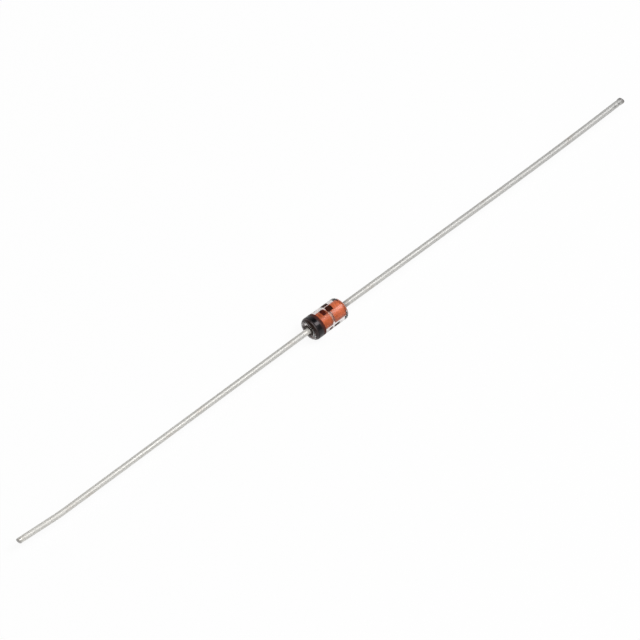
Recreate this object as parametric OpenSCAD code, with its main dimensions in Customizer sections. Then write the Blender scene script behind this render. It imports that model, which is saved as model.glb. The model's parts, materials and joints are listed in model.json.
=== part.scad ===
// Axial glass zener diode: two copper-clad slugs hold a silicon die inside a glass sleeve,
// and a tinned wire is welded to each slug. X runs along the leads, cathode at -X.

/* [Glass sleeve] */
// Outside diameter of the glass
body_d = 1.95; // [1.6:0.01:2.2]
// Length of the glass, end to end
body_len = 3.5; // [3.1:0.05:5]
// Radius of the fire-polished outer rim at each end
rim_r = 0.33; // [0.1:0.01:0.4]
// Radius of the lip where the bore opens at each end
lip_r = 0.16; // [0.05:0.01:0.2]

/* [Slugs] */
// Diameter of the slugs, which is also the bore of the glass
slug_d = 0.86; // [0.76:0.02:1]
// Rounding of the slugs' edges
slug_edge_r = 0.05; // [0.02:0.01:0.1]
// How far the cathode slug's weld face lies inside the glass end
cathode_recess = 0.02; // [0.02:0.02:0.6]
// How far the anode slug's weld face lies inside the glass end
anode_recess = 0.06; // [0.02:0.02:0.6]

/* [Die] */
// Side of the square silicon die
die_w = 0.5; // [0.3:0.02:0.52]
// Thickness of the die
die_t = 0.15; // [0.08:0.01:0.25]
// Distance from the die's edge to the silver bump on its anode face
bump_margin = 0.08; // [0.04:0.01:0.1]
// Height of the silver bump
bump_t = 0.05; // [0.03:0.01:0.1]
// Distance of the gap's middle from the middle of the glass, towards the anode
die_shift = 0.36; // [-0.6:0.02:0.6]

/* [Cathode band] */
// Distance of the band's outer edge from the cathode end of the glass
band_inset = 0.04; // [0.02:0.02:0.4]
// Width of the band along the glass, midway between its longest and shortest side
band_w = 0.94; // [0.4:0.02:1.2]
// Thickness of the paint
band_t = 0.02; // [0.01:0.005:0.05]
// How far the band's inner edge is out of square, in degrees
band_skew = 2.5; // [0:0.5:10]
// Where the band is narrowest, as a turn about X from upright towards +Y
band_roll = 60; // [0:5:90]

/* [Leads] */
// Diameter of the lead wire
lead_d = 0.5; // [0.4:0.02:0.56]
// Developed length of each lead outside the glass
lead_len = 30.55; // [24:0.05:38]
// Section radius of the weld bead round the foot of each lead
weld_r = 0.06; // [0.03:0.01:0.08]

/* [Cropped tips] */
// Length of the stretch that the cutter left its marks on
tip_len = 1.1; // [1:0.05:1.5]
// How far the cropped end stands proud of the wire
tip_swell = 0.02; // [0.005:0.005:0.04]
// Rounding of the cropped end
tip_edge_r = 0.1; // [0.04:0.01:0.15]
// Slant of the cut, in degrees
cut_slant = 18; // [0:1:25]
// Distance of the cutter's pinch mark from the cropped end
pinch_back = 0.54; // [0.5:0.02:0.8]
// Depth of the pinch mark
pinch_depth = 0.03; // [0.01:0.005:0.05]
// Radius of the pinch mark's hollow along the wire
pinch_r = 0.4; // [0.2:0.05:0.6]

/* [Bends] */
// Direction in which the leads are bent, as a turn about X from upright towards +Y
bend_roll = 60; // [0:5:90]
// Straight run of the cathode lead from the glass to its slight droop
cathode_root = 1; // [0.5:0.1:3]
// Droop of the cathode lead, in degrees
cathode_droop = 0.35; // [0.25:0.05:2]
// Radius of the droop
cathode_droop_r = 150; // [130:5:200]
// Length of the cathode lead past its last bend
cathode_tail = 3.7; // [2:0.1:8]
// Last bend of the cathode lead, in degrees
cathode_bend = 3.2; // [0.5:0.1:10]
// Radius of that bend
cathode_bend_r = 20; // [5:1:60]
// Length of the gentle curve that ends the anode lead
anode_curve_len = 12; // [4:0.5:16]
// Turn of the gentle curve, in degrees
anode_curve = 1.4; // [0.5:0.1:6]

/* [Hidden] */
$fn = 96;
// Sides of the wire, and steps along each bend
wire_fn = 48;
elbow_steps = 12;
// How far a cut runs past what it cuts
over = 0.1;

body_r = body_d / 2;
half_len = body_len / 2;
slug_r = slug_d / 2;
lead_r = lead_d / 2;
tip_r = lead_r + tip_swell;
// The wall of the glass limits how round its two end edges can be
wall = body_r - slug_r;
rim = min(rim_r, 0.64 * wall);
lip = min(lip_r, 0.32 * wall);

// The die stack fills the gap between the slugs: the die sits on the cathode slug
gap = die_t + bump_t;
bump_r = die_w / 2 - bump_margin;
die_foot_x = die_shift - gap / 2;
bump_foot_x = die_foot_x + die_t;
anode_slug_x = die_shift + gap / 2;
cathode_weld_x = cathode_recess - half_len;
anode_weld_x = half_len - anode_recess;

// Every straight run reaches this far into the bends beside it, and the bends are drawn
// thinner by this much, so that each bend ends inside the runs that it joins
seat_len = 0.02;
seat = 0.002;

function arc_len(radius, turn) = radius * abs(turn) * PI / 180;

// Each lead's path from its slug outwards: [straight run, radius of the bend after it, its turn],
// and last the run that leads to the cropped tip
cathode_mid = lead_len - cathode_root - arc_len(cathode_droop_r, cathode_droop)
    - arc_len(cathode_bend_r, cathode_bend) - cathode_tail;
cathode_path = [
    [cathode_recess + cathode_root, cathode_droop_r, -cathode_droop],
    [cathode_mid, cathode_bend_r, cathode_bend],
    [cathode_tail - tip_len]];
anode_curve_r = anode_curve_len * 180 / PI / anode_curve;
anode_path = [
    [anode_recess + lead_len - anode_curve_len - tip_len, anode_curve_r, anode_curve],
    [0]];

glass_colour = [0.85, 0.93, 0.9, 0.35];
copper_colour = [0.8, 0.41, 0.26];
tin_colour = [0.78, 0.77, 0.74];
silver_colour = [0.86, 0.85, 0.82];
silicon_colour = [0.3, 0.31, 0.34];
band_colour = [0.09, 0.085, 0.1];

// Turns a shape that stands along Z to lie along X
module along_x() {
    rotate([0, 90, 0])
        children();
}

// What lies beyond a plane through the origin, which leans from upright towards +X by an angle
module beyond(lean) {
    rotate([0, lean, 0])
        translate([0, -body_len, -body_len])
            cube(2 * body_len);
}

// Half section of the glass with no bore, grown outwards by a skin's thickness
module glass_section(skin) {
    translate([0, rim - half_len])
        square([body_r + skin, body_len - 2 * rim]);
    translate([0, -half_len - skin])
        square([body_r - rim, body_len + 2 * skin]);
    for (end = [-1, 1])
        translate([body_r - rim, end * (half_len - rim)])
            circle(rim + skin);
}

// What the rounded mouth of the bore takes away at the upper end of the section
module mouth_section() {
    difference() {
        translate([0, half_len - lip])
            square([slug_r + lip, lip + over]);
        translate([slug_r + lip, half_len - lip])
            circle(lip);
    }
}

module glass_sleeve() {
    color(glass_colour)
        along_x()
            rotate_extrude()
                difference() {
                    glass_section(0);
                    translate([0, -half_len - over])
                        square([slug_r, body_len + 2 * over]);
                    for (end = [0, 1])
                        mirror([0, end])
                            mouth_section();
                }
}

// Paint laid over the cylinder and the rounded rim of the glass, with a slanting inner edge
module cathode_band() {
    color(band_colour)
        difference() {
            along_x()
                rotate_extrude()
                    intersection() {
                        difference() {
                            glass_section(band_t);
                            glass_section(0);
                        }
                        translate([0, band_inset - half_len])
                            square([body_d, body_len / 2]);
                    }
            rotate([-band_roll, 0, 0])
                translate([band_inset + band_w - half_len, 0, 0])
                    beyond(-band_skew);
        }
}

// A slug of the given length with rounded edges, standing on Z = 0
module slug(length) {
    edge = min(slug_edge_r, length / 4);
    rotate_extrude() {
        translate([0, edge])
            square([slug_r, length - 2 * edge]);
        square([slug_r - edge, length]);
        for (z = [edge, length - edge])
            translate([slug_r - edge, z])
                circle(edge);
    }
}

module cathode_slug() {
    color(copper_colour)
        translate([cathode_weld_x, 0, 0])
            along_x()
                slug(die_foot_x - cathode_weld_x);
}

module anode_slug() {
    color(copper_colour)
        translate([anode_slug_x, 0, 0])
            along_x()
                slug(anode_weld_x - anode_slug_x);
}

// Square die, seated on the cathode slug
module zener_die() {
    color(silicon_colour)
        translate([die_foot_x, -die_w / 2, -die_w / 2])
            cube([die_t, die_w, die_w]);
}

// Silver bump: a button with a domed edge, flat where it meets the die and the anode slug
module contact_bump() {
    dome_r = bump_t / 2;
    color(silver_colour)
        translate([bump_foot_x, 0, 0])
            along_x()
                rotate_extrude() {
                    square([bump_r - dome_r, bump_t]);
                    translate([bump_r - dome_r, dome_r])
                        circle(dome_r);
                }
}

// A bend of the wire that starts at the origin along +X and turns towards +Z
module elbow(radius, turn) {
    mirror([0, 0, turn < 0 ? 1 : 0])
        translate([0, 0, radius])
            rotate([90, 90, 0])
                rotate_extrude(angle = abs(turn), $fn = elbow_steps * ceil(360 / abs(turn)))
                    translate([radius, 0])
                        circle(lead_r - seat, $fn = wire_fn);
}

// The last run of the wire, with the cutter's pinch and the swollen, rounded end that it left
module swollen_tip(run) {
    end = run + tip_len;
    pinch = end - pinch_back;
    along_x()
        rotate_extrude($fn = wire_fn)
            difference() {
                union() {
                    translate([0, -seat_len])
                        square([lead_r, pinch + seat_len]);
                    translate([0, pinch - over])
                        square([tip_r, pinch_back + over - tip_edge_r]);
                    translate([0, pinch - over])
                        square([tip_r - tip_edge_r, pinch_back + over]);
                    translate([tip_r - tip_edge_r, end - tip_edge_r])
                        circle(tip_edge_r, $fn = wire_fn);
                }
                translate([lead_r + pinch_r - pinch_depth, pinch])
                    circle(pinch_r);
            }
}

// That run cut off on a slant, which leaves one side of it at its full length
module cropped_tip(run, slant) {
    difference() {
        swollen_tip(run);
        translate([run + tip_len, 0, sign(slant) * tip_r])
            beyond(slant);
    }
}

// The wire from stage i of its path to the tip
module wire(path, slant, i = 0) {
    run = path[i][0];
    radius = path[i][1];
    turn = path[i][2];
    start = i == 0 ? 0 : -seat_len;
    if (i == len(path) - 1)
        cropped_tip(run, slant);
    else {
        translate([start, 0, 0])
            along_x()
                cylinder(r = lead_r, h = run + seat_len - start, $fn = wire_fn);
        translate([run, 0, 0]) {
            elbow(radius, turn);
            translate([radius * sin(abs(turn)), 0, sign(turn) * radius * (1 - cos(turn))])
                rotate([0, -turn, 0])
                    wire(path, slant, i + 1);
        }
    }
}

// A lead with its foot on the origin, running along +X, with the weld bead round its foot
module lead(path, slant) {
    rotate([-bend_roll, 0, 0]) {
        wire(path, slant);
        along_x()
            rotate_extrude($fn = wire_fn)
                intersection() {
                    translate([lead_r, weld_r / 2])
                        circle(weld_r);
                    square([lead_r + weld_r, 2 * weld_r]);
                }
    }
}

module cathode_lead() {
    color(tin_colour)
        translate([cathode_weld_x, 0, 0])
            mirror([1, 0, 0])
                lead(cathode_path, cut_slant);
}

module anode_lead() {
    color(tin_colour)
        translate([anode_weld_x, 0, 0])
            lead(anode_path, -cut_slant);
}

glass_sleeve();
cathode_slug();
anode_slug();
zener_die();
contact_bump();
cathode_lead();
anode_lead();
cathode_band();
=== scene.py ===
import json
import math

import bmesh
import bpy
from mathutils import Matrix, Vector, noise


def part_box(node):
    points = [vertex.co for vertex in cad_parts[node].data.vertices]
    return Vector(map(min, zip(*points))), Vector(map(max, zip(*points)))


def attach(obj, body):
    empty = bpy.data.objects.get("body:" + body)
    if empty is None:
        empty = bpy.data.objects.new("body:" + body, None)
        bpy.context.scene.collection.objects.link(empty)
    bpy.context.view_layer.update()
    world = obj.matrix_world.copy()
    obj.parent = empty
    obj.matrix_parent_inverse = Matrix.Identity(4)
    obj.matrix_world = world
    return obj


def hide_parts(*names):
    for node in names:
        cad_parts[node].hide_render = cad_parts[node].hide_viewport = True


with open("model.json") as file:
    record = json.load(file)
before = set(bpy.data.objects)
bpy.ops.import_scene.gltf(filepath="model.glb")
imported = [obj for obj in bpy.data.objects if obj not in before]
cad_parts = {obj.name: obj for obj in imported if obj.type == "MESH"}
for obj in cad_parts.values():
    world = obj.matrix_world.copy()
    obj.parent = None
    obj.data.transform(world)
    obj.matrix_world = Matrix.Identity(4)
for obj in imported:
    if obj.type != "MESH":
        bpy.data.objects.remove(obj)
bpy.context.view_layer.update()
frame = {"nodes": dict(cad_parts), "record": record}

MM = 0.001

# Sizes taken from the frame, in metres
glass_low, glass_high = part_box("glass_sleeve")
cathode_low, cathode_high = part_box("cathode_slug")
anode_low, anode_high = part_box("anode_slug")
band_low, band_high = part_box("cathode_band")
die_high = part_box("zener_die")[1]
HALF_LEN = (glass_high.x - glass_low.x) / 2
BODY_R = (glass_high.z - glass_low.z) / 2
SLUG_R = (cathode_high.z - cathode_low.z) / 2
BAND_R = (band_high.z - band_low.z) / 2
BAND_T = BAND_R - BODY_R
LEAD_R = frame["record"]["mounts"][0]["dims"]["r_mm"] * MM

# Sizes repeated from part.scad, in metres
RIM_R = 0.33 * MM
LIP_R = 0.16 * MM
SLUG_EDGE_R = 0.05 * MM
BAND_SKEW = math.radians(2.5)
BAND_ROLL = math.radians(60)
WELD_R = 0.06 * MM
LEAD_LEN = 30.55 * MM
TIP_LEN = 1.1 * MM
TIP_SWELL = 0.02 * MM
TIP_EDGE_R = 0.1 * MM
CUT_SLANT = math.radians(18)
PINCH_BACK = 0.54 * MM
PINCH_DEPTH = 0.03 * MM
PINCH_R = 0.4 * MM
BEND_ROLL = math.radians(60)
CATHODE_ROOT = 1.0 * MM
CATHODE_DROOP = math.radians(0.35)
CATHODE_DROOP_R = 150 * MM
CATHODE_TAIL = 3.7 * MM
CATHODE_BEND = math.radians(3.2)
CATHODE_BEND_R = 20 * MM
ANODE_CURVE_LEN = 12 * MM
ANODE_CURVE = math.radians(1.4)

# The glass is fused to the slugs and the paint to the glass: each reaches this far into the other
FUSED = 0.006 * MM
# The glass closes in round the die, to this share of the die's half width
CLOSED_IN = 0.5
# The glass ends are slightly out of square, leaning the same way as the band's edge
END_SKEW = math.radians(1.8)

# The weld bead runs out into the wire over a length, stands out by a share of its size in part.scad,
# and has the gloss of metal that was molten
BEAD_LEN = 0.1 * MM
BEAD_KEPT = 0.35
BEAD_GLOSS = 0.5

# The cropped end: a slightly barrelled knob, a shallow pinch, a rounded cut and two marks of a cutter's
# jaw, painted dark as the shade in their dents
KNOB_BACK = 0.2 * MM
KNOB_R = 3 * MM
PINCH_KEPT = 0.5
CUT_EDGE_R = 0.04 * MM
JAW_MARKS = (0.58 * MM, 1.0 * MM)
JAW_TURN = math.radians(112)
JAW_R = 0.09 * MM
JAW_DEPTH = 0.03 * MM
JAW_SHADE = 0.62

# Plain bars of ink in two rows: each row's middle and width, and the turns in degrees that its bars span
INK_T = 0.008 * MM
INK_ROWS = ((-0.21 * MM, 0.37 * MM, ((-16, 19), (-104, -88))),
            (0.41 * MM, 0.57 * MM, ((-15, 16), (21, 47), (-104, -88))))

# Steps of the meshes, the angle that makes an edge sharp, and the length of an edge too short to keep
ROUND_STEPS = 192
WIRE_STEPS = 40
RIM_STEPS = 24
EDGE_STEPS = 6
SLUG_SIDE_STEPS = 40
BEAD_STEPS = 12
CUT_EDGE_STEPS = 3
SHARP_ANGLE = math.radians(40)
SLIVER = FUSED / 10


# Meshes

def fade(distance, width):
    """1 at no distance, less and less from there, and 0 from a width on."""
    return max(0.0, 1 - distance / width) if width else 0.0


def late_fade(distance, width):
    """1 over the first half of a width, less and less over the second, and 0 from there on."""
    return min(1.0, 2 * fade(distance, width))


def finish_mesh(name, bm):
    bmesh.ops.recalc_face_normals(bm, faces=bm.faces)
    mesh = bpy.data.meshes.new(name)
    bm.to_mesh(mesh)
    bm.free()
    mesh.shade_smooth()
    mesh.set_sharp_from_angle(angle=SHARP_ANGLE)
    obj = bpy.data.objects.new(name, mesh)
    bpy.context.collection.objects.link(obj)
    return obj


def arc(cx, cr, radius, start_deg, end_deg, steps=RIM_STEPS):
    """Points (x, r) on an arc; angles are counted from +X towards +R."""
    points = []
    for i in range(steps + 1):
        angle = math.radians(start_deg + (end_deg - start_deg) * i / steps)
        points.append((cx + radius * math.cos(angle), cr + radius * math.sin(angle)))
    return points


def lathe(name, profile, closed=True, move=None, wear_and_shade_at=None):
    """Turns (x, r) points about X. move(x, r, angle) gives the x to place a point at instead, and a given
    function of x gives each point its share of wear and of painted shade, which is kept with the point for
    its material."""
    bm = bmesh.new()
    wear_and_shade = bm.verts.layers.float.new("wear_and_shade")
    rings = []
    for x, r in profile:
        ring = []
        for k in range(ROUND_STEPS if r > 0 else 1):
            angle = 2 * math.pi * k / ROUND_STEPS
            placed_x = move(x, r, angle) if move else x
            vert = bm.verts.new((placed_x, r * math.sin(angle), r * math.cos(angle)))
            vert[wear_and_shade] = wear_and_shade_at(x) if wear_and_shade_at else 0.0
            ring.append(vert)
        rings.append(ring)
    pairs = list(zip(rings, rings[1:]))
    if closed:
        pairs.append((rings[-1], rings[0]))
    for one, two in pairs:
        for k in range(ROUND_STEPS):
            j = (k + 1) % ROUND_STEPS
            if len(one) == 1:
                bm.faces.new((one[0], two[k], two[j]))
            elif len(two) == 1:
                bm.faces.new((one[k], two[0], one[j]))
            else:
                bm.faces.new((one[k], two[k], two[j], one[j]))
    return finish_mesh(name, bm)


def glass_outline(skin=0.0):
    """Outer half section of the glass from the cathode end to the anode end, or of a skin on it."""
    r = RIM_R + skin
    points = arc(RIM_R - HALF_LEN, BODY_R - RIM_R, r, 180, 90)
    points += arc(HALF_LEN - RIM_R, BODY_R - RIM_R, r, 90, 0)
    return points


def lean(x, r, angle, skew):
    """Where a point at x goes when its section leans by an angle in the plane of the bends."""
    return x - r * math.tan(skew) * math.cos(angle - BAND_ROLL)


def make_glass():
    """The sleeve. Its bore is open beside the weld faces, fused to the slugs and closed in at the die."""
    lip_x = HALF_LEN - LIP_R
    in_slug = SLUG_R - FUSED
    in_die = CLOSED_IN * die_high.z
    anode_seal = min(lip_x, anode_high.x - SLUG_EDGE_R) - FUSED
    cathode_seal = max(-lip_x, cathode_low.x + SLUG_EDGE_R) + FUSED
    profile = glass_outline()
    profile += arc(lip_x, SLUG_R + LIP_R, LIP_R, 0, -90)
    profile += [(anode_seal, in_slug),
                (anode_low.x + 2 * SLUG_EDGE_R, in_slug),
                (anode_low.x + FUSED, in_die),
                (cathode_high.x - FUSED, in_die),
                (cathode_high.x - 2 * SLUG_EDGE_R, in_slug),
                (cathode_seal, in_slug)]
    profile += arc(-lip_x, SLUG_R + LIP_R, LIP_R, -90, -180)
    return lathe("glass", profile, move=lambda x, r, angle: lean(x, r, angle, END_SKEW))


def make_slug(name, low, high, weld_x, darkened, darkened_w, seared):
    """A slug with rounded edges. It is dark on its weld face, darkened by a share over a width from there,
    and darkened by a share at the die, which is painted shade of the gap between the slugs."""
    edge = SLUG_EDGE_R
    darkened_fade_w = 0.12 * MM
    seared_w = 0.4 * MM

    def wear_and_shade_at(x):
        from_weld = abs(x - weld_x)
        if from_weld < edge:
            return 1.0
        from_die = high.x - low.x - from_weld
        darkening = darkened * min(1.0, (darkened_w - from_weld) / darkened_fade_w)
        # By the die the darkening is painted shade of the gap between the slugs
        return max(darkening, seared * fade(from_die, seared_w))

    profile = [(low.x, 0)]
    profile += arc(low.x + edge, SLUG_R - edge, edge, 180, 90, EDGE_STEPS)
    for i in range(1, SLUG_SIDE_STEPS):
        profile.append((low.x + edge + (high.x - low.x - 2 * edge) * i / SLUG_SIDE_STEPS, SLUG_R))
    profile += arc(high.x - edge, SLUG_R - edge, edge, 90, 0, EDGE_STEPS)
    profile += [(high.x, 0)]
    return lathe(name, profile, closed=False, wear_and_shade_at=wear_and_shade_at)


def make_band():
    """Paint over the glass. Its inner edge is out of square, uneven, and thins away."""
    thin_w = 0.34 * MM
    thinned = 0.7
    skewed_w = 1.1 * thin_w
    edge_x = band_high.x - BAND_R * math.tan(BAND_SKEW)
    wobble = 0.012 * MM
    ripples = 3
    ripple_seed = 0.7

    def section_r(x, skin):
        dx = RIM_R - HALF_LEN - x
        return BODY_R - RIM_R + math.sqrt((RIM_R + skin) ** 2 - dx * dx)

    def outline(skin):
        rim = [(x, r) for x, r in glass_outline(skin) if band_low.x < x < RIM_R - HALF_LEN + FUSED]
        return [(band_low.x, section_r(band_low.x, skin))] + rim

    def uneven(x, r, angle):
        if x < edge_x - skewed_w:
            return lean(x, r, angle, END_SKEW)
        ripple = noise.noise((ripples * math.cos(angle), ripples * math.sin(angle), ripple_seed))
        return lean(x, r, angle, BAND_SKEW) + wobble * (ripple - 1)

    def wear_and_shade_at(x):
        return min(1.0, fade(edge_x - x, thin_w))

    profile = outline(BAND_T)
    for i in range(EDGE_STEPS + 1):
        share = i / EDGE_STEPS
        profile.append((edge_x - thin_w * (1 - share), BODY_R + BAND_T * (1 - thinned * share ** 2)))
    profile.append((edge_x, BODY_R - FUSED))
    profile += reversed(outline(-FUSED))
    return lathe("band", profile, move=uneven, wear_and_shade_at=wear_and_shade_at)


def make_patch(name, x0, x1, deg0, deg1, thick):
    """A bar of ink that lies on the glass, from x0 to x1 and round from deg0 to deg1. Its corners are
    rounded and its ends ragged."""
    along, round_about = 12, 16
    rounding = 0.16
    ragged = 0.012 * MM
    rags_along, rags_round, rag_seed = 5, 6, 3.1

    def point(i, k, r):
        u = 2 * i / along - 1
        v = 2 * k / round_about - 1
        x = (x0 + x1) / 2 + (x1 - x0) / 2 * u * math.sqrt(1 - rounding * v * v)
        turn = (deg0 + deg1) / 2 + (deg1 - deg0) / 2 * v * math.sqrt(1 - rounding * u * u)
        angle = math.radians(turn)
        if i in (0, along):
            x += noise.noise((x / MM * rags_along, angle * rags_round, rag_seed)) * ragged
        return x, r * math.sin(angle), r * math.cos(angle)

    bm = bmesh.new()
    grids = []
    for r in (BODY_R - FUSED / 2, BODY_R + thick):
        grids.append([[bm.verts.new(point(i, k, r)) for k in range(round_about + 1)]
                      for i in range(along + 1)])
    low, high = grids
    for i in range(along):
        for k in range(round_about):
            bm.faces.new((high[i][k], high[i + 1][k], high[i + 1][k + 1], high[i][k + 1]))
            bm.faces.new((low[i][k], low[i][k + 1], low[i + 1][k + 1], low[i + 1][k]))
    for k in range(round_about):
        bm.faces.new((low[0][k], high[0][k], high[0][k + 1], low[0][k + 1]))
        bm.faces.new((low[along][k], low[along][k + 1], high[along][k + 1], high[along][k]))
    for i in range(along):
        bm.faces.new((low[i][0], low[i + 1][0], high[i + 1][0], high[i][0]))
        bm.faces.new((low[i][-1], high[i][-1], high[i + 1][-1], low[i + 1][-1]))
    return finish_mesh(name, bm)


def walk(path, length):
    """Stations (distance, along, rise, angle) of a lead in its bend plane, out to its end."""
    run_step, bend_step, tip_step = 0.4 * MM, 0.2 * MM, 0.02 * MM
    stations = [(0.0, 0.0, 0.0, 0.0)]

    def forward(run, turn, step):
        if run < FUSED:
            return
        s, x, z, angle = stations[-1]
        count = math.ceil(run / step)
        for _ in range(count):
            mid = angle + turn / count / 2
            s += run / count
            x += run / count * math.cos(mid)
            z += run / count * math.sin(mid)
            angle += turn / count
            stations.append((s, x, z, angle))

    for run, radius, turn in path:
        forward(run, 0.0, run_step)
        forward(radius * abs(turn), turn, bend_step)
    forward(length - stations[-1][0] - TIP_LEN, 0.0, run_step)
    forward(TIP_LEN, 0.0, tip_step)
    return stations


def wire_radius(s, end, swell):
    """Radius of the wire at a distance from its weld face: bead, wire, pinch and rounded knob."""
    r = LEAD_R + BEAD_KEPT * WELD_R * fade(s, BEAD_LEN) ** 3
    pinch = end - PINCH_BACK
    if s > pinch:
        r = LEAD_R + swell - (s - end + KNOB_BACK) ** 2 / (2 * KNOB_R)
    hollow = PINCH_R ** 2 - (s - pinch) ** 2
    if hollow > 0:
        r = min(r, LEAD_R + PINCH_R - PINCH_KEPT * PINCH_DEPTH - math.sqrt(hollow))
    over = s - end + TIP_EDGE_R
    if over > 0:
        rounded = LEAD_R + swell - TIP_EDGE_R + math.sqrt(max(0.0, TIP_EDGE_R ** 2 - over ** 2))
        r = min(r, rounded)
    return r


def jaw_mark(from_end, turn):
    """How deep a point of the wire lies in a mark of the cutter's jaw, from 0 to 1."""
    across = LEAD_R * (turn - JAW_TURN)
    return max(math.exp(-((from_end - mark) ** 2 + across ** 2) / JAW_R ** 2) for mark in JAW_MARKS)


def close_tube(bm, rings):
    """Faces between the rings of a wire, and a fan on each end."""
    for one, two in zip(rings, rings[1:]):
        for k in range(WIRE_STEPS):
            j = (k + 1) % WIRE_STEPS
            bm.faces.new((one[k], two[k], two[j], one[j]))
    for ring in (rings[0], rings[-1]):
        hub = bm.verts.new(sum((v.co for v in ring), Vector()) / WIRE_STEPS)
        for k in range(WIRE_STEPS):
            bm.faces.new((hub, ring[k], ring[(k + 1) % WIRE_STEPS]))


def crop(bm, cut_at, cut_facing):
    """Cuts a wire off at a plane and rounds the edge of the cut."""
    made = bmesh.ops.bisect_plane(bm, geom=bm.verts[:] + bm.edges[:] + bm.faces[:],
                                  plane_co=cut_at, plane_no=cut_facing, clear_outer=True)
    edges = [item for item in made["geom_cut"] if isinstance(item, bmesh.types.BMEdge)]
    face = bmesh.ops.contextual_create(bm, geom=edges)["faces"][0]
    bmesh.ops.bevel(bm, geom=face.edges[:], offset=CUT_EDGE_R, segments=CUT_EDGE_STEPS, profile=0.5,
                    affect="EDGES", clamp_overlap=True)
    bmesh.ops.dissolve_degenerate(bm, dist=SLIVER, edges=bm.edges[:])


def make_lead(name, foot_x, side, path, length, foot_shade, foot_shade_w, painted_light, swell, dark, dark_w, polish):
    """A wire swept along its path and cut off on a slant, longest where side times the rise is least. It is
    darkened by a share that fades over its first stretch, painted shade and reflection of the body by the
    glass, and painted lighter over a length, painted light where the body shades it. Its knob swells by a
    size, is dark at the cut by a share that fades over a width, and is polished by a share."""
    rise_dir = Vector((0, math.sin(BEND_ROLL), math.cos(BEND_ROLL)))
    along_dir = Vector((side, 0, 0))
    flat_dir = along_dir.cross(rise_dir)
    bead = [i * BEAD_LEN / BEAD_STEPS for i in range(1, BEAD_STEPS + 1)]
    stations = sorted(walk(path, length) + [(s, s, 0.0, 0.0) for s in bead])
    bm = bmesh.new()
    wear_and_shade = bm.verts.layers.float.new("wear_and_shade")
    shiny = bm.verts.layers.float.new("shiny")
    painted_light_share = bm.verts.layers.float.new("painted_light_share")
    rings = []
    for s, x, z, angle in stations:
        centre = Vector((foot_x, 0, 0)) + along_dir * x + rise_dir * z
        normal = rise_dir * math.cos(angle) - along_dir * math.sin(angle)
        tangent = along_dir * math.cos(angle) + rise_dir * math.sin(angle)
        radius = wire_radius(s, length, swell)
        knob = polish * late_fade(length - s, 2 * KNOB_BACK)
        ring = []
        for k in range(WIRE_STEPS):
            turn = 2 * math.pi * k / WIRE_STEPS
            spoke = normal * math.cos(turn) + flat_dir * math.sin(turn)
            mark = jaw_mark(length - s, turn)
            vert = bm.verts.new(centre + spoke * (radius - JAW_DEPTH * mark))
            # Painted shade and reflection by the glass, and painted shade in the jaw marks
            vert[wear_and_shade] = max(foot_shade * fade(s, foot_shade_w), JAW_SHADE * mark)
            vert[shiny] = max(BEAD_GLOSS * fade(s, BEAD_LEN), knob)
            # Painted light on the foot, where the body shades it
            vert[painted_light_share] = late_fade(s, painted_light)
            ring.append(vert)
        rings.append(ring)
    close_tube(bm, rings)
    # The cut goes by the place and direction of the last ring
    slant = -side * CUT_SLANT
    cut_at = centre - side * normal * (LEAD_R + swell)
    cut_facing = tangent * math.cos(slant) - normal * math.sin(slant)
    crop(bm, cut_at, cut_facing)
    for vert in bm.verts:
        behind = (cut_at - vert.co).dot(cut_facing)
        vert[wear_and_shade] = max(vert[wear_and_shade], dark * fade(behind, dark_w))
    return finish_mesh(name, bm)


# Materials

def grey(level):
    return level, level, level


BLACK = grey(0.0)
WHITE = grey(1.0)


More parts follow.
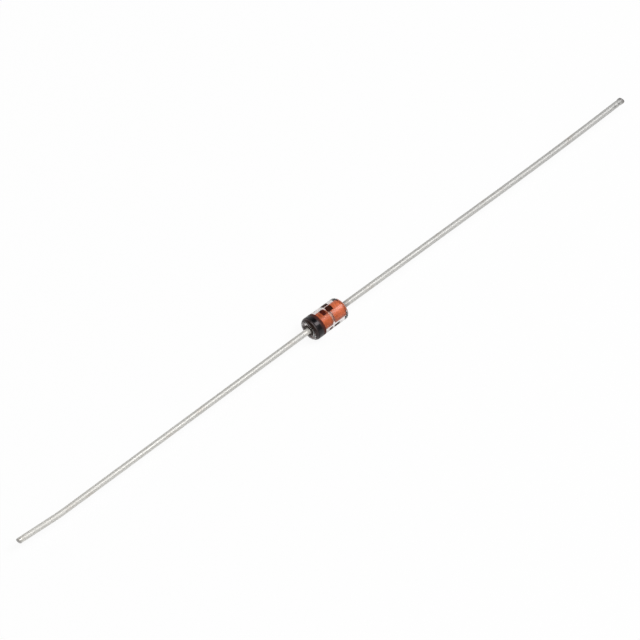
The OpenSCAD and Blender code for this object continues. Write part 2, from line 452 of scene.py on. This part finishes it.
class Nodes:
    """Short ways to add and link the nodes of one tree."""

    def __init__(self, tree, coords):
        self.tree = tree
        self.coords = self.add("ShaderNodeTexCoord").outputs[coords]

    def add(self, kind, **values):
        node = self.tree.nodes.new(kind)
        for key, value in values.items():
            setattr(node, key, value)
        return node

    def link(self, output, socket):
        self.tree.links.new(output, socket)

    def feed(self, value, socket):
        """Links an output to a socket, or sets the socket to a number or a colour."""
        if isinstance(value, bpy.types.NodeSocket):
            self.link(value, socket)
        else:
            socket.default_value = value if isinstance(value, float) else (*value, 1)

    def place(self, axis):
        """How far along an axis a point lies."""
        node = self.add("ShaderNodeSeparateXYZ")
        self.link(self.coords, node.inputs[0])
        return node.outputs[axis]

    def attribute(self, name):
        """A number that the mesh keeps with its points."""
        return self.add("ShaderNodeAttribute", attribute_name=name).outputs["Fac"]

    def noise(self, scale, detail=3.0, stretch=(1, 1, 1)):
        """Mottling from 0 to 1. A larger scale or stretch makes it finer, along all axes or each axis."""
        mapping = self.add("ShaderNodeMapping")
        mapping.inputs["Scale"].default_value = stretch
        self.link(self.coords, mapping.inputs["Vector"])
        node = self.add("ShaderNodeTexNoise")
        node.inputs["Scale"].default_value = scale
        node.inputs["Detail"].default_value = detail
        node.inputs["Roughness"].default_value = 0.55
        self.link(mapping.outputs["Vector"], node.inputs["Vector"])
        return node.outputs["Fac"]

    def ramp(self, fac, *stops):
        """A colour that changes with fac from stop to stop. Each stop is a place and a colour."""
        node = self.add("ShaderNodeValToRGB")
        ramp = node.color_ramp
        while len(ramp.elements) < len(stops):
            ramp.elements.new(0.5)
        for element, (place, colour) in zip(ramp.elements, stops):
            element.position = place
            element.color = (*colour, 1)
        self.link(fac, node.inputs["Fac"])
        return node.outputs["Color"]

    def mix(self, fac, one, two, blend="MIX"):
        node = self.add("ShaderNodeMix", data_type="RGBA", blend_type=blend)
        self.feed(fac, node.inputs[0])
        self.feed(one, node.inputs[6])
        self.feed(two, node.inputs[7])
        return node.outputs[2]

    def math(self, operation, one, two, clamp=False):
        node = self.add("ShaderNodeMath", operation=operation, use_clamp=clamp)
        self.link(one, node.inputs[0])
        self.link(two, node.inputs[1])
        return node.outputs[0]

    def span(self, fac, low, high, from_low=0.0, from_high=1.0):
        """A number that goes from low to high as fac goes from from_low to from_high."""
        node = self.add("ShaderNodeMapRange")
        node.inputs["From Min"].default_value = from_low
        node.inputs["From Max"].default_value = from_high
        node.inputs["To Min"].default_value = low
        node.inputs["To Max"].default_value = high
        self.link(fac, node.inputs["Value"])
        return node.outputs["Result"]

    def leaving_glass(self, path):
        """1 for a ray that a slug or the die has scattered and that goes out through the glass."""
        return self.math("MULTIPLY", path.outputs["Is Transmission Ray"], path.outputs["Diffuse Depth"],
                         clamp=True)


class Surface(Nodes):
    """The nodes of one material, with its shader."""

    def __init__(self, name):
        self.material = bpy.data.materials.new(name)
        self.material.use_nodes = True
        super().__init__(self.material.node_tree, "Object")
        self.shader = self.tree.nodes["Principled BSDF"]

    def bump(self, height, distance, strength):
        node = self.add("ShaderNodeBump")
        node.inputs["Distance"].default_value = distance
        node.inputs["Strength"].default_value = strength
        self.link(height, node.inputs["Height"])
        self.link(node.outputs["Normal"], self.shader.inputs["Normal"])

    def set(self, **values):
        for key, value in values.items():
            self.feed(value, self.shader.inputs[key.replace("_", " ")])


def glass_material(name, coat_ior, softness, dull_end=None):
    """Clear glass with a warm tint, a painted reflection of the copper inside it. Its coat gives the
    highlight, of a softness, and can be duller by the cathode, down to a share."""
    n = Surface(name)
    # The warm tint is a painted reflection of the copper slugs
    warm_tint = n.ramp(n.noise(900), (0.3, (0.985, 0.94, 0.92)), (0.7, (1.0, 0.96, 0.945)))
    n.set(Base_Color=warm_tint, Transmission_Weight=1.0, IOR=1.6, Roughness=0.0)
    n.set(Specular_IOR_Level=0.0, Specular_Tint=BLACK)
    n.set(Coat_Weight=1.0, Coat_IOR=coat_ior, Coat_Roughness=softness)
    if dull_end:
        n.set(Coat_Weight=n.span(n.place("X"), dull_end, 1.0, 0.0, HALF_LEN / 2))
    n.bump(n.noise(1100, 1), 0.002 * MM, 0.5)
    return n.material


def polish_ends(glass):
    """The fire-polished ends of the glass are glossier than its side."""
    glass.data.materials.append(glass_material("polished_glass", coat_ior=1.45, softness=0.16))
    for face in glass.data.polygons:
        if abs(face.center.x) > HALF_LEN - RIM_R:
            face.material_index = 1


def copper_material():
    """Borated copper, mottled, and dark on the weld faces, beside them and near the die, where the dark is
    painted shade. The faces that hold the die are painted pale: painted light in the shade between the
    slugs.
    """
    mottled, copper_dark_and_shade, pale = (0.7, 0.14, 0.045), (0.034, 0.02, 0.012), (0.88, 0.43, 0.345)
    n = Surface("borated_copper")
    colour = n.ramp(n.noise(1400, 4), (0.3, (0.82, 0.171, 0.054)), (0.7, (0.87, 0.194, 0.065)))
    colour = n.mix(n.span(n.noise(3800, 3), 0.0, 0.4, 0.6, 0.75), colour, mottled)
    # Dark on the weld faces and beside them, and painted shade near the die
    colour = n.mix(n.attribute("wear_and_shade"), colour, copper_dark_and_shade)
    # Painted light: the shaded faces by the die are painted pale
    between = n.span(n.place("X"), 0.0, 1.0, cathode_high.x - SLUG_EDGE_R, anode_low.x + SLUG_EDGE_R)
    lifted_faces = n.ramp(between, (0.0, BLACK), (0.17, WHITE), (0.83, WHITE), (1.0, BLACK))
    colour = n.mix(lifted_faces, colour, pale)
    n.set(Base_Color=colour, Metallic=0.2, Specular_IOR_Level=0.2)
    n.set(Roughness=n.span(n.noise(2500, 3), 0.4, 0.55))
    n.bump(n.noise(5000, 2), 0.001 * MM, 0.5)
    return n.material


def tin_material():
    """Drawn and tinned wire: streaked and stained along its length, darker towards the anode's end, and
    painted lighter and darker near the glass, as painted light and painted shade.
    """
    stained, painted_light, wire_dark_and_shade = (0.57, 0.5, 0.44), (0.97, 0.94, 0.88), (0.022, 0.015, 0.018)
    streaks, stains = (350, 9000, 9000), (700, 1500, 1500)
    scuffs, dents = (500, 4000, 4000), (300, 3000, 3000)
    n = Surface("tinned_wire")
    towards_anode = n.span(n.place("X"), 0.0, 1.0, -LEAD_LEN, LEAD_LEN)
    colour = n.ramp(n.noise(1.0, 3, streaks), (0.3, (0.69, 0.685, 0.67)), (0.7, (0.77, 0.765, 0.755)))
    colour = n.mix(n.span(n.noise(1.0, 3, stains), 0.0, 0.5, 0.58, 0.75), colour, stained)
    anode_darkening = n.ramp(towards_anode, (0.0, (1.0, 0.99, 0.955)), (1.0, (0.8, 0.8, 0.79)))
    colour = n.mix(1.0, colour, anode_darkening, "MULTIPLY")
    # Painted light on the cathode lead's foot, where the body shades it
    colour = n.mix(n.attribute("painted_light_share"), colour, painted_light)
    # Painted shade and reflection near the glass, painted shade in the jaw marks, and dark at the cut
    colour = n.mix(n.attribute("wear_and_shade"), colour, wire_dark_and_shade)
    n.set(Base_Color=colour, Metallic=0.45)
    rough = n.span(n.noise(1.0, 2, scuffs), 0.42, 0.52)
    rough = n.math("MULTIPLY", rough, n.span(n.attribute("shiny"), 1.0, 0.35))
    ends = n.ramp(towards_anode, (0.0, WHITE), (0.2, BLACK), (0.5, grey(0.4)), (1.0, grey(0.6)))
    n.set(Roughness=n.math("MULTIPLY", rough, n.span(ends, 1.0, 1.25)))
    n.bump(n.noise(1.0, 2, dents), 0.002 * MM, 0.5)
    return n.material


def paint_material():
    """Black enamel, red where it thins away at its inner edge. It is brown towards the end of the glass,
    painted grey in a patchy ring on the shoulder as a painted highlight, and dull beside that ring."""
    red, brown, rim_highlight = (0.1, 0.014, 0.004), (0.02, 0.009, 0.0055), (0.16, 0.14, 0.14)
    n = Surface("band_enamel")
    wear_and_shade = n.attribute("wear_and_shade")
    shoulder = n.span(n.place("X"), 0.0, 1.0, -HALF_LEN, RIM_R - HALF_LEN)
    colour = n.ramp(n.noise(2200, 4), (0.35, (0.0012, 0.001, 0.0018)), (0.7, (0.003, 0.0026, 0.0036)))
    colour = n.mix(wear_and_shade, colour, red)
    colour = n.mix(n.span(shoulder, 1.0, 0.0, 0.4, 1.0), colour, brown)
    # A painted highlight: a patchy grey ring on the shoulder
    ring = n.ramp(shoulder, (0.45, BLACK), (0.6, WHITE), (0.75, BLACK))
    patchy = n.span(n.noise(1500, 3), 0.0, 1.0, 0.4, 0.65)
    colour = n.mix(n.math("MULTIPLY", ring, patchy), colour, rim_highlight)
    n.set(Base_Color=colour, IOR=1.47, Specular_Tint=(1.0, 0.9, 0.94))
    rough = n.span(n.noise(3200, 3), 0.18, 0.25)
    rough = n.math("ADD", rough, n.span(wear_and_shade, 0.0, 0.6, 0.0, 0.6))
    bend = n.ramp(shoulder, (0.6, BLACK), (0.75, WHITE), (0.92, WHITE), (1.0, BLACK))
    n.set(Roughness=n.math("ADD", rough, n.span(bend, 0.0, 0.45)))
    n.bump(n.noise(1800, 3), 0.006 * MM, 0.5)
    return n.material


def ink_material():
    """Red-brown ink, darker in the row by the anode."""
    n = Surface("marking_ink")
    colour = n.ramp(n.noise(5200, 4), (0.35, (0.065, 0.006, 0.002)), (0.7, (0.105, 0.014, 0.005)))
    by_anode = n.span(n.place("X"), 0.0, 1.0, 0.0, 0.3 * MM)
    anode_row_tone = n.ramp(by_anode, (0.0, WHITE), (1.0, (0.5, 0.9, 0.9)))
    colour = n.mix(1.0, colour, anode_row_tone, "MULTIPLY")
    n.set(Base_Color=colour, Specular_IOR_Level=0.12)
    n.set(Roughness=n.span(n.noise(4200, 3), 0.3, 0.5))
    n.bump(n.noise(6000, 3), 0.004 * MM, 0.6)
    return n.material


def silicon_material():
    saw_lines = (900, 12000, 12000)
    n = Surface("sawn_silicon")
    # The pink-beige is a painted reflection of the copper round the die
    colour = n.ramp(n.noise(1.0, 3, saw_lines), (0.3, (0.66, 0.42, 0.32)), (0.7, (0.78, 0.52, 0.41)))
    n.set(Base_Color=colour, Metallic=0.2)
    n.set(Roughness=n.span(n.noise(9000, 3), 0.25, 0.45))
    return n.material


def silver_material():
    n = Surface("plated_silver")
    colour = n.ramp(n.noise(9000, 3), (0.3, (0.7, 0.69, 0.66)), (0.7, (0.86, 0.85, 0.82)))
    n.set(Base_Color=colour, Metallic=1.0)
    n.set(Roughness=n.span(n.noise(7000, 3), 0.22, 0.4))
    return n.material


# The pieces in their places

def dress(obj, material, slot, *nodes):
    """Gives a piece its material, and puts it in the place of its CAD nodes."""
    obj.data.materials.clear()
    obj.data.materials.append(material)
    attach(obj, "root")
    if nodes:
        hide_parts(*nodes)
    return obj


tin = tin_material()
copper = copper_material()
ink = ink_material()

clear_glass = glass_material("clear_glass", coat_ior=1.58, softness=0.32, dull_end=0.47)
glass = dress(make_glass(), clear_glass, "glass", "glass_sleeve")
polish_ends(glass)
# The lamps light the slugs straight through the glass
glass.visible_shadow = False

slug_cathode = make_slug("slug_cathode", cathode_low, cathode_high, weld_x=cathode_low.x,
                         darkened=0.94, darkened_w=0.95 * MM, seared=0.2)
dress(slug_cathode, copper, "copper", "cathode_slug")
slug_anode = make_slug("slug_anode", anode_low, anode_high, weld_x=anode_high.x,
                       darkened=0.5, darkened_w=0.2 * MM, seared=0.15)
dress(slug_anode, copper, "copper", "anode_slug")
dress(make_band(), paint_material(), "band_paint", "cathode_band")

# Each stretch of a lead's path is a straight run, then the radius and the angle of a bend
cathode_recess = cathode_low.x + HALF_LEN
cathode_mid = (LEAD_LEN - CATHODE_ROOT - CATHODE_DROOP_R * CATHODE_DROOP
               - CATHODE_BEND_R * CATHODE_BEND - CATHODE_TAIL)
cathode_path = [(cathode_recess + CATHODE_ROOT, CATHODE_DROOP_R, -CATHODE_DROOP),
                (cathode_mid, CATHODE_BEND_R, CATHODE_BEND)]
lead_cathode = make_lead("lead_cathode", cathode_low.x, -1, cathode_path, LEAD_LEN + cathode_recess,
                         foot_shade=0.5, foot_shade_w=0.09 * MM, painted_light=0.5 * MM,
                         swell=0.0, dark=0.35, dark_w=0.1 * MM, polish=1.0)
dress(lead_cathode, tin, "tinned_wire", "cathode_lead")

anode_recess = HALF_LEN - anode_high.x
anode_path = [(anode_recess + LEAD_LEN - ANODE_CURVE_LEN - TIP_LEN,
               ANODE_CURVE_LEN / ANODE_CURVE, ANODE_CURVE)]
lead_anode = make_lead("lead_anode", anode_high.x, 1, anode_path, LEAD_LEN + anode_recess,
                       foot_shade=0.7, foot_shade_w=0.8 * MM, painted_light=0.0,
                       swell=TIP_SWELL, dark=0.7, dark_w=0.4 * MM, polish=0.0)
dress(lead_anode, tin, "tinned_wire", "anode_lead")

for row, (middle, width, turns) in enumerate(INK_ROWS):
    for bar, (start, end) in enumerate(turns):
        patch = make_patch(f"ink_{row}_{bar}", middle - width / 2, middle + width / 2, start, end, INK_T)
        dress(patch, ink, "band_paint")

for node, material in (("zener_die", silicon_material()), ("contact_bump", silver_material())):
    frame["nodes"][node].data.materials.clear()
    frame["nodes"][node].data.materials.append(material)


# Floor, light and camera

def floor_material():
    """Pale floor. The camera sees it white with a trace of shadow; metal and glass see more of the
    shadow, and the slugs in the glass, close above it, see most."""
    n = Surface("floor")
    n.tree.nodes.remove(n.shader)

    def pale(albedo, glow):
        diffuse = n.add("ShaderNodeBsdfDiffuse")
        n.feed(grey(albedo), diffuse.inputs["Color"])
        emission = n.add("ShaderNodeEmission")
        n.feed(glow, emission.inputs["Strength"])
        both = n.add("ShaderNodeAddShader")
        n.link(diffuse.outputs[0], both.inputs[0])
        n.link(emission.outputs[0], both.inputs[1])
        return both.outputs[0]

    def either(chosen, off, on):
        mix = n.add("ShaderNodeMixShader")
        n.link(chosen, mix.inputs[0])
        n.link(off, mix.inputs[1])
        n.link(on, mix.inputs[2])
        return mix.outputs[0]

    path = n.add("ShaderNodeLightPath")
    from_shiny = n.math("MAXIMUM", path.outputs["Is Glossy Ray"], path.outputs["Is Transmission Ray"])
    surface = either(from_shiny, pale(albedo=0.82, glow=0.0), pale(albedo=0.32, glow=0.58))
    surface = either(n.leaving_glass(path), surface, pale(albedo=0.4, glow=0.0))
    surface = either(path.outputs["Is Camera Ray"], surface, pale(albedo=0.08, glow=0.92))
    n.link(surface, n.tree.nodes["Material Output"].inputs["Surface"])
    return n.material


def make_floor(half, z):
    mesh = bpy.data.meshes.new("floor")
    corners = [(-half, -half, z), (half, -half, z), (half, half, z), (-half, half, z)]
    mesh.from_pydata(corners, [], [(0, 1, 2, 3)])
    mesh.materials.append(floor_material())
    obj = bpy.data.objects.new("floor", mesh)
    bpy.context.collection.objects.link(obj)
    return obj


def make_room():
    """A pale sweep behind the object (+Y), dim overhead, a little lighter in front. The lamps and the
    room light the slugs straight through the glass: a ray that leaves a slug and finds its own way
    out of the glass meets an even level instead."""
    stops = ((0.0, 0.34), (0.25, 0.3), (0.45, 0.12), (0.7, 0.09), (0.83, 0.34), (0.94, 0.68), (1.0, 0.75))
    inside_level = 0.6
    world = bpy.data.worlds.new("studio")
    world.use_nodes = True
    n = Nodes(world.node_tree, "Generated")
    depth = n.span(n.place("Y"), 0.0, 1.0, -1.0, 1.0)
    room = n.ramp(depth, *((place, grey(level)) for place, level in stops))
    leaving = n.leaving_glass(n.add("ShaderNodeLightPath"))
    n.link(n.mix(leaving, room, grey(inside_level)), n.tree.nodes["Background"].inputs["Color"])
    bpy.context.scene.world = world


def standing(right, up, back, place):
    """The matrix of a lamp or a camera at a place, with its own right, up and back in these directions."""
    return Matrix.Translation(place) @ Matrix((right, up, back)).transposed().to_4x4()


def softbox(name, direction, radiance, along_deg, across_deg, turn_deg):
    """A rectangular lamp that faces the object, as wide as these angles along X and across it before
    it is turned about its middle.
    Refracted rays pass it by: the glass would focus it into grains of light on the slugs."""
    far = 0.5
    facing = Vector(direction).normalized()
    across = facing.cross(Vector((1, 0, 0))).normalized()
    across = Matrix.Rotation(math.radians(turn_deg), 3, facing) @ across
    along = across.cross(facing)
    lamp = bpy.data.lights.new(name, "AREA")
    lamp.shape = "RECTANGLE"
    lamp.size = 2 * far * math.tan(math.radians(along_deg / 2))
    lamp.size_y = 2 * far * math.tan(math.radians(across_deg / 2))
    lamp.energy = radiance * math.pi * lamp.size * lamp.size_y
    obj = bpy.data.objects.new(name, lamp)
    obj.matrix_world = standing(along, across, facing, facing * far)
    obj.visible_transmission = False
    bpy.context.collection.objects.link(obj)


def make_camera(azimuth, elevation, distance, aim_right, aim_up, lens):
    """A camera that looks towards the origin from a distance, moved to its right and up from there."""
    back = Vector((math.sin(azimuth) * math.cos(elevation),
                   -math.cos(azimuth) * math.cos(elevation), math.sin(elevation)))
    right = Vector((math.cos(azimuth), math.sin(azimuth), 0))
    up = back.cross(right)
    data = bpy.data.cameras.new("camera")
    data.lens = lens
    data.sensor_width = 36
    data.clip_start = 0.01
    camera = bpy.data.objects.new("camera", data)
    camera.matrix_world = standing(right, up, back, back * distance + right * aim_right + up * aim_up)
    bpy.context.collection.objects.link(camera)
    return camera


floor = make_floor(half=1.5, z=band_low.z)
make_room()

# The key light's reflection runs along the glass and the leads, the fill light's round the cathode rim
softbox("key", direction=(0.422, -0.325, 0.846), radiance=5.1, along_deg=34, across_deg=25, turn_deg=0)
softbox("fill", direction=(-0.13, -0.25, 0.96), radiance=2.0, along_deg=24, across_deg=85, turn_deg=20)

# The camera is fitted to the photograph
bpy.context.scene.camera = make_camera(azimuth=math.radians(-42.99), elevation=math.radians(51.35),
                                       distance=1.0338, aim_right=-0.385 * MM, aim_up=-0.088 * MM,
                                       lens=745.5)
bpy.context.scene.view_settings.view_transform = "Standard"
